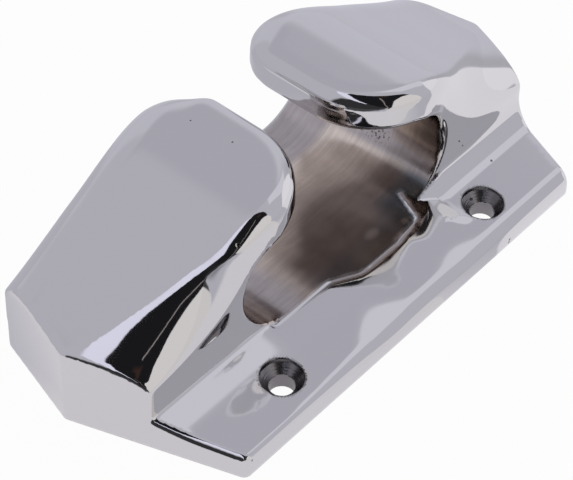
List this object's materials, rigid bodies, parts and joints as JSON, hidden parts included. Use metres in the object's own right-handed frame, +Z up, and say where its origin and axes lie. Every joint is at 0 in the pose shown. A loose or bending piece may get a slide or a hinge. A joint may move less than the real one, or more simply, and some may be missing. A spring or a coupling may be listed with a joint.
{
  "type": "fairlead",
  "caption": "Open mooring fairlead of mirror-polished stainless steel: a low casting with a rounded oval throat under curved horns, a drop-in slot between their tips and a screw flange.",
  "frame": {"origin": "middle of the base's bounding box, on the deck plane", "axes": "+X along the fairlead's length, -Y towards the side with the screw flange, +Z up from the deck"},
  "size_m": [0.1428, 0.0654, 0.0445],
  "materials": {
    "polished_steel": "polished"
  },
  "bodies": {
    "root": {"fairlead_body": "polished_steel"}
  },
  "joints": []
}
